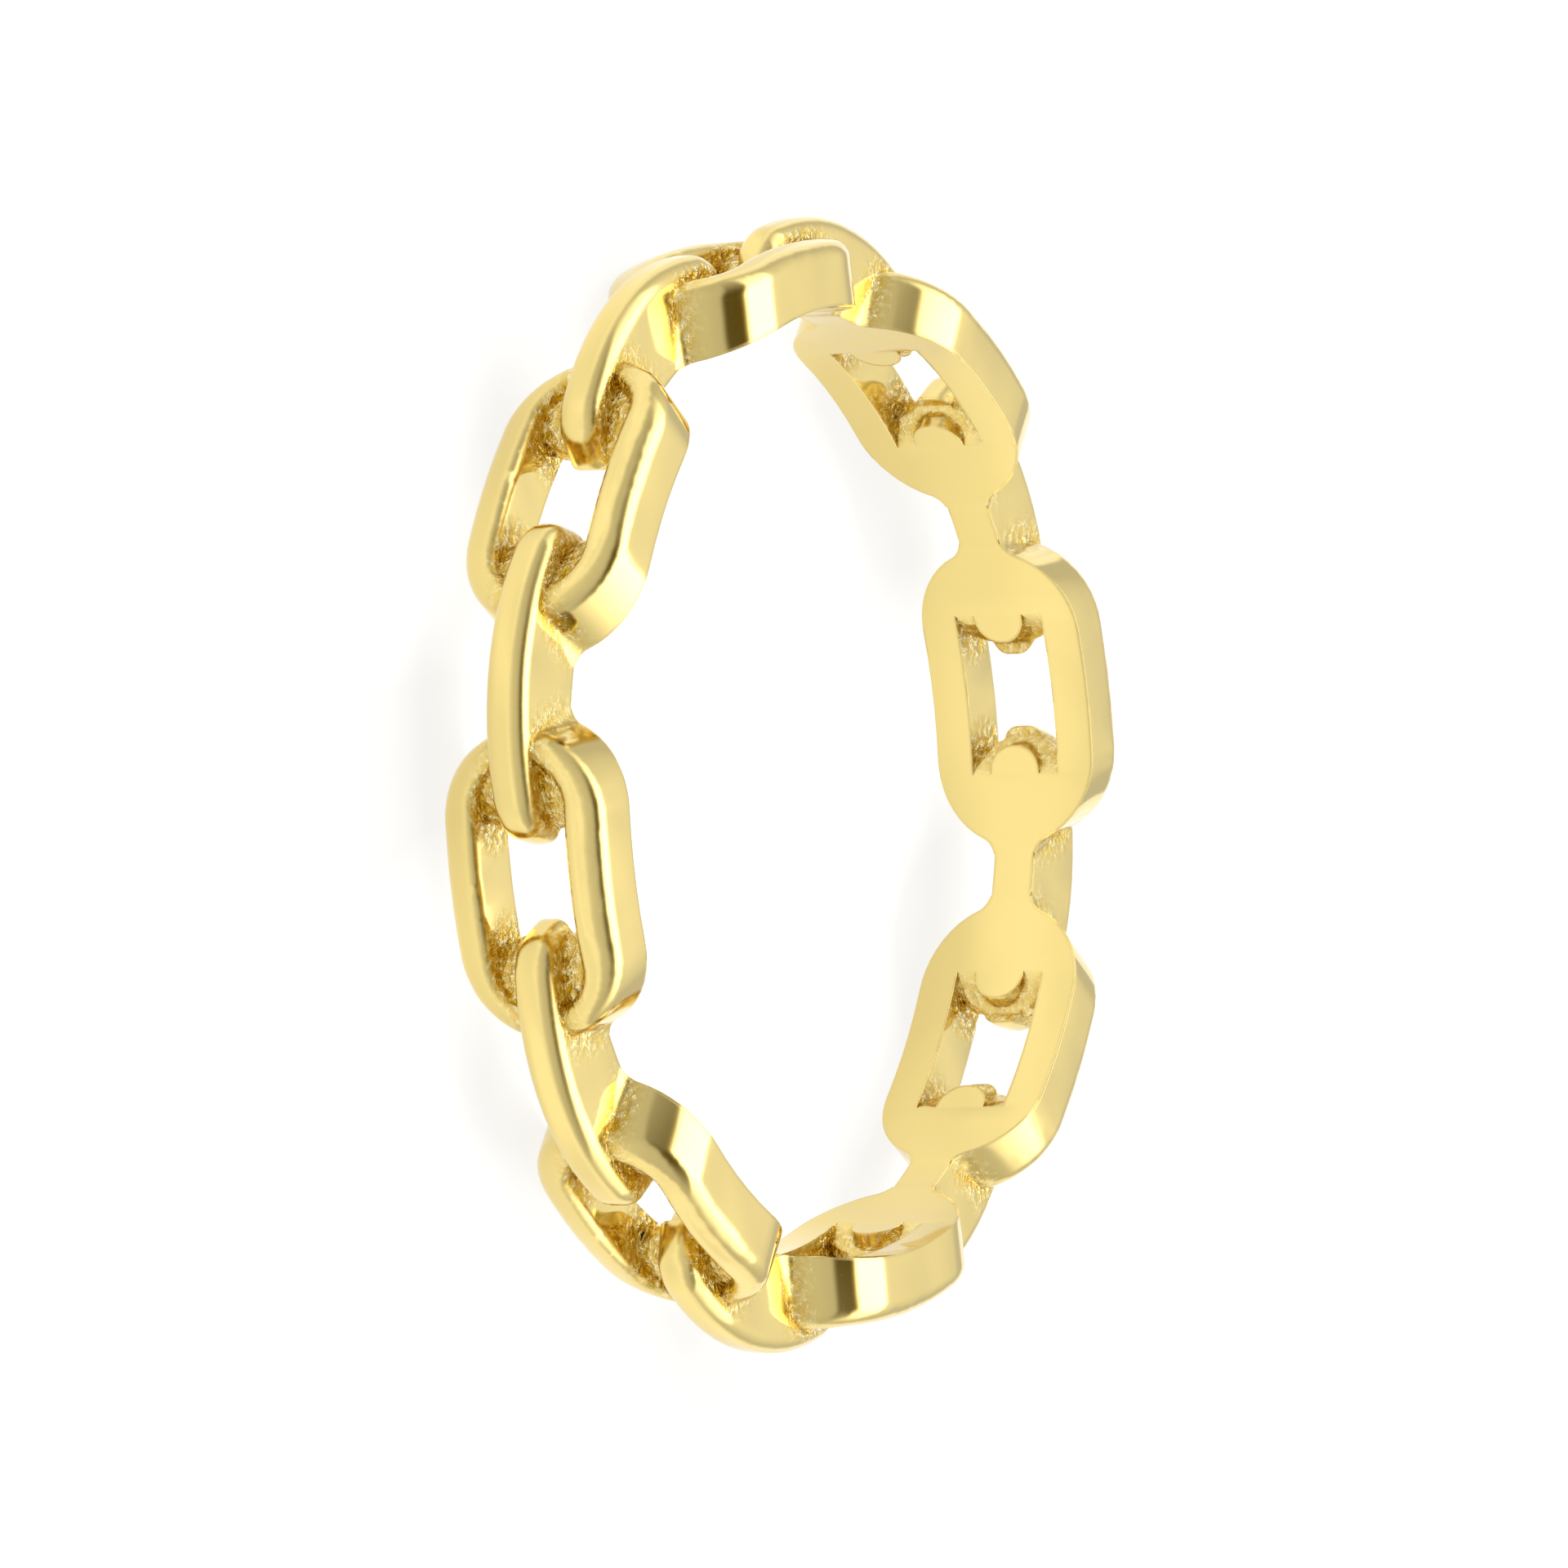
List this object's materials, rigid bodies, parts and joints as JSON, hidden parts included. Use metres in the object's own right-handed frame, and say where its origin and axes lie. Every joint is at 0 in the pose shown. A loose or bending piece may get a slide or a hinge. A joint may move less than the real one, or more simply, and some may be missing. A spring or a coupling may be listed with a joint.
{
  "type": "chain link ring",
  "caption": "Finger ring cast in one piece as a closed band of rounded flat links joined by thin links set on edge, in polished gold-coloured metal.",
  "frame": {"origin": "on the ring's axis at the level of the lower side faces, which the ring lies on", "axes": "+Z is the ring's axis, out of the finger hole; +X runs through the middle of a flat link"},
  "size_m": [0.02, 0.02, 0.0033],
  "materials": {
    "polished_gold": "mirror polished, rough cast in the grooves and openings"
  },
  "bodies": {
    "root": {"chain_band": "polished_gold"}
  },
  "joints": []
}
